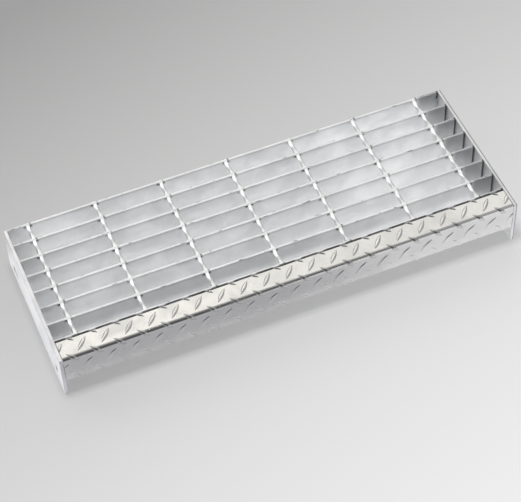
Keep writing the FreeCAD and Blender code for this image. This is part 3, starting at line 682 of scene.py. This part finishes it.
tone = add_node(tree, "ShaderNodeMix", {0: fade, 6: linear(FLOOR_DARK), 7: linear(FLOOR_LIGHT)},
                data_type="RGBA")
spot = add_node(tree, "ShaderNodeSeparateXYZ", {0: place})
from_middle = add_node(tree, "ShaderNodeVectorMath", {0: place, 1: UNDER_MIDDLE}, operation="SUBTRACT")
off_middle = add_node(tree, "ShaderNodeVectorMath", {0: from_middle}, operation="ABSOLUTE")
reach = add_node(tree, "ShaderNodeSeparateXYZ", {0: off_middle})
along = add_node(tree, "ShaderNodeMapRange", {0: reach.outputs["X"], 1: UNDER_LONG[0], 2: UNDER_LONG[1],
                                              3: 1.0, 4: 0.0})
deep = add_node(tree, "ShaderNodeMapRange", {0: reach.outputs["Y"], 1: UNDER_DEEP[0], 2: UNDER_DEEP[1],
                                             3: 1.0, 4: 0.0})
under = add_node(tree, "ShaderNodeMath", {0: along, 1: deep}, operation="MULTIPLY")
sheet = add_node(tree, "ShaderNodeMix", {0: under, 6: linear(FLOOR_COOL), 7: linear(FLOOR_WHITE)},
                 data_type="RGBA")
rays = add_node(tree, "ShaderNodeLightPath")
shaded = add_node(tree, "ShaderNodeMix", {0: GLOW_SHARE, 6: tone.outputs[2], 7: (0, 0, 0, 1)},
                  data_type="RGBA")
base = add_node(tree, "ShaderNodeMix", {0: rays.outputs["Is Camera Ray"], 6: sheet.outputs[2],
                                        7: shaded.outputs[2]}, data_type="RGBA")
tree.links.new(base.outputs[2], shader.inputs["Base Color"])
tree.links.new(tone.outputs[2], shader.inputs["Emission Color"])
to_right = add_node(tree, "ShaderNodeMapRange", {0: spot.outputs["X"], 1: MIRROR_START, 2: MIRROR_END,
                                                 3: 0.0, 4: RIGHT_GLOW}, interpolation_type="SMOOTHSTEP")
to_left = add_node(tree, "ShaderNodeMapRange", {0: spot.outputs["X"], 1: MIRROR_START, 2: MIRROR_END,
                                                3: UNDER_GLOW[0], 4: UNDER_GLOW[1]},
                   interpolation_type="SMOOTHSTEP")
below_bars = add_node(tree, "ShaderNodeMath", {0: under, 1: to_left, 2: to_right},
                      operation="MULTIPLY_ADD")
mirrored = add_node(tree, "ShaderNodeMath", {0: below_bars, 1: rays.outputs["Is Glossy Ray"]},
                    operation="MULTIPLY")
glow = add_node(tree, "ShaderNodeMath", {0: rays.outputs["Is Camera Ray"], 1: GLOW_SHARE, 2: mirrored},
                operation="MULTIPLY_ADD")
tree.links.new(glow.outputs[0], shader.inputs["Emission Strength"])
clear = add_node(tree, "ShaderNodeBsdfTransparent")
from_below = add_node(tree, "ShaderNodeNewGeometry").outputs["Backfacing"]
one_sided = add_node(tree, "ShaderNodeMixShader", {0: from_below, 1: shader, 2: clear})
tree.links.new(one_sided.outputs[0], tree.nodes["Material Output"].inputs["Surface"])
floor_mesh.materials.append(paper)


def soft_lamp(name, wide, high, energy, colour, spot, aim=(0, 0, 0.05)):
    """A soft box that faces a point."""
    lamp = bpy.data.lights.new(name, "AREA")
    lamp.shape = "RECTANGLE"
    lamp.size = wide
    lamp.size_y = high
    lamp.energy = energy
    lamp.color = linear(colour)[:3]
    box = bpy.data.objects.new(name, lamp)
    box.location = spot
    box.rotation_euler = (Vector(aim) - Vector(spot)).to_track_quat("-Z", "Y").to_euler()
    bpy.context.scene.collection.objects.link(box)
    return box


key = soft_lamp("key_soft_box", wide=0.6, high=0.6, energy=36, colour="#FFFFFF", spot=(-0.3, 0.0, 2.6))
key.visible_glossy = False
soft_lamp("back_left_soft_box", wide=1.7, high=2.2, energy=8.7, colour="#FFFBF2", spot=(-0.055, 2.18, 2.1),
          aim=(-0.6, 0.18, 0.05))
soft_lamp("left_soft_box", wide=1.2, high=1.2, energy=5.4, colour="#FFFFFF", spot=(-1.5, 1.6, 1.6))
soft_lamp("back_right_soft_box", wide=1.3, high=2.2, energy=4.9, colour="#FFFBF2", spot=(1.388, 1.767, 2.1),
          aim=(0.82, -0.23, 0.05))

# The room is evenly lit, but the zinc mirrors a dark side where the camera stands and a bright one low at
# the front right
DARK_SIDE = Vector((-0.12, -0.77, 0.62))
BRIGHT_SIDE = Vector((0.5, -0.86, 0.1))
AIR_COLOUR = "#F8F8FA"
AIR_LIGHT = 0.36
DARK_LIGHT = 0.02
DARK_EDGE = (0.58, 0.85)
BRIGHT_LIGHT = 0.6
BRIGHT_EDGE = (0.9, 0.96)
world = bpy.data.worlds.new("studio_air")
bpy.context.scene.world = world
world.use_nodes = True
tree = world.node_tree
towards = add_node(tree, "ShaderNodeTexCoord").outputs["Generated"]
facing = add_node(tree, "ShaderNodeVectorMath", {0: towards, 1: DARK_SIDE}, operation="DOT_PRODUCT")
dim = add_node(tree, "ShaderNodeMapRange", {0: facing.outputs["Value"], 1: DARK_EDGE[0], 2: DARK_EDGE[1],
                                            3: AIR_LIGHT, 4: DARK_LIGHT}, interpolation_type="SMOOTHSTEP")
beside = add_node(tree, "ShaderNodeVectorMath", {0: towards, 1: BRIGHT_SIDE}, operation="DOT_PRODUCT")
shine = add_node(tree, "ShaderNodeMapRange", {0: beside.outputs["Value"], 1: BRIGHT_EDGE[0],
                                              2: BRIGHT_EDGE[1], 3: 0.0, 4: BRIGHT_LIGHT},
                 interpolation_type="SMOOTHSTEP")
room = add_node(tree, "ShaderNodeMath", {0: dim, 1: shine}, operation="ADD")
mirrored = add_node(tree, "ShaderNodeLightPath").outputs["Is Glossy Ray"]
strength = add_node(tree, "ShaderNodeMix", {0: mirrored, 2: AIR_LIGHT, 3: room}, data_type="FLOAT")
tree.links.new(strength.outputs[0], tree.nodes["Background"].inputs["Strength"])
tree.nodes["Background"].inputs["Color"].default_value = linear(AIR_COLOUR)

# Camera: a long lens high at the front left, turned a little about its own axis
LENS = 124.5
AIM = Vector((-23.2, -55.1, 75)) * MM
DISTANCE = 2493 * MM
AZIMUTH = math.radians(20.76)
ELEVATION = math.radians(50.66)
ROLL = math.radians(-2.33)
camera = bpy.data.objects.new("camera", bpy.data.cameras.new("camera"))
bpy.context.scene.collection.objects.link(camera)
camera.data.lens = LENS
view = Vector((math.sin(AZIMUTH) * math.cos(ELEVATION), math.cos(AZIMUTH) * math.cos(ELEVATION),
               -math.sin(ELEVATION)))
level = view.cross(Vector((0, 0, 1))).normalized()
right = Matrix.Rotation(-ROLL, 3, view) @ level
frame_axes = Matrix((right, right.cross(view), -view)).transposed()
camera.matrix_world = Matrix.Translation(AIM - view * DISTANCE) @ frame_axes.to_4x4()
bpy.context.scene.camera = camera
bpy.context.scene.view_settings.view_transform = "Standard"
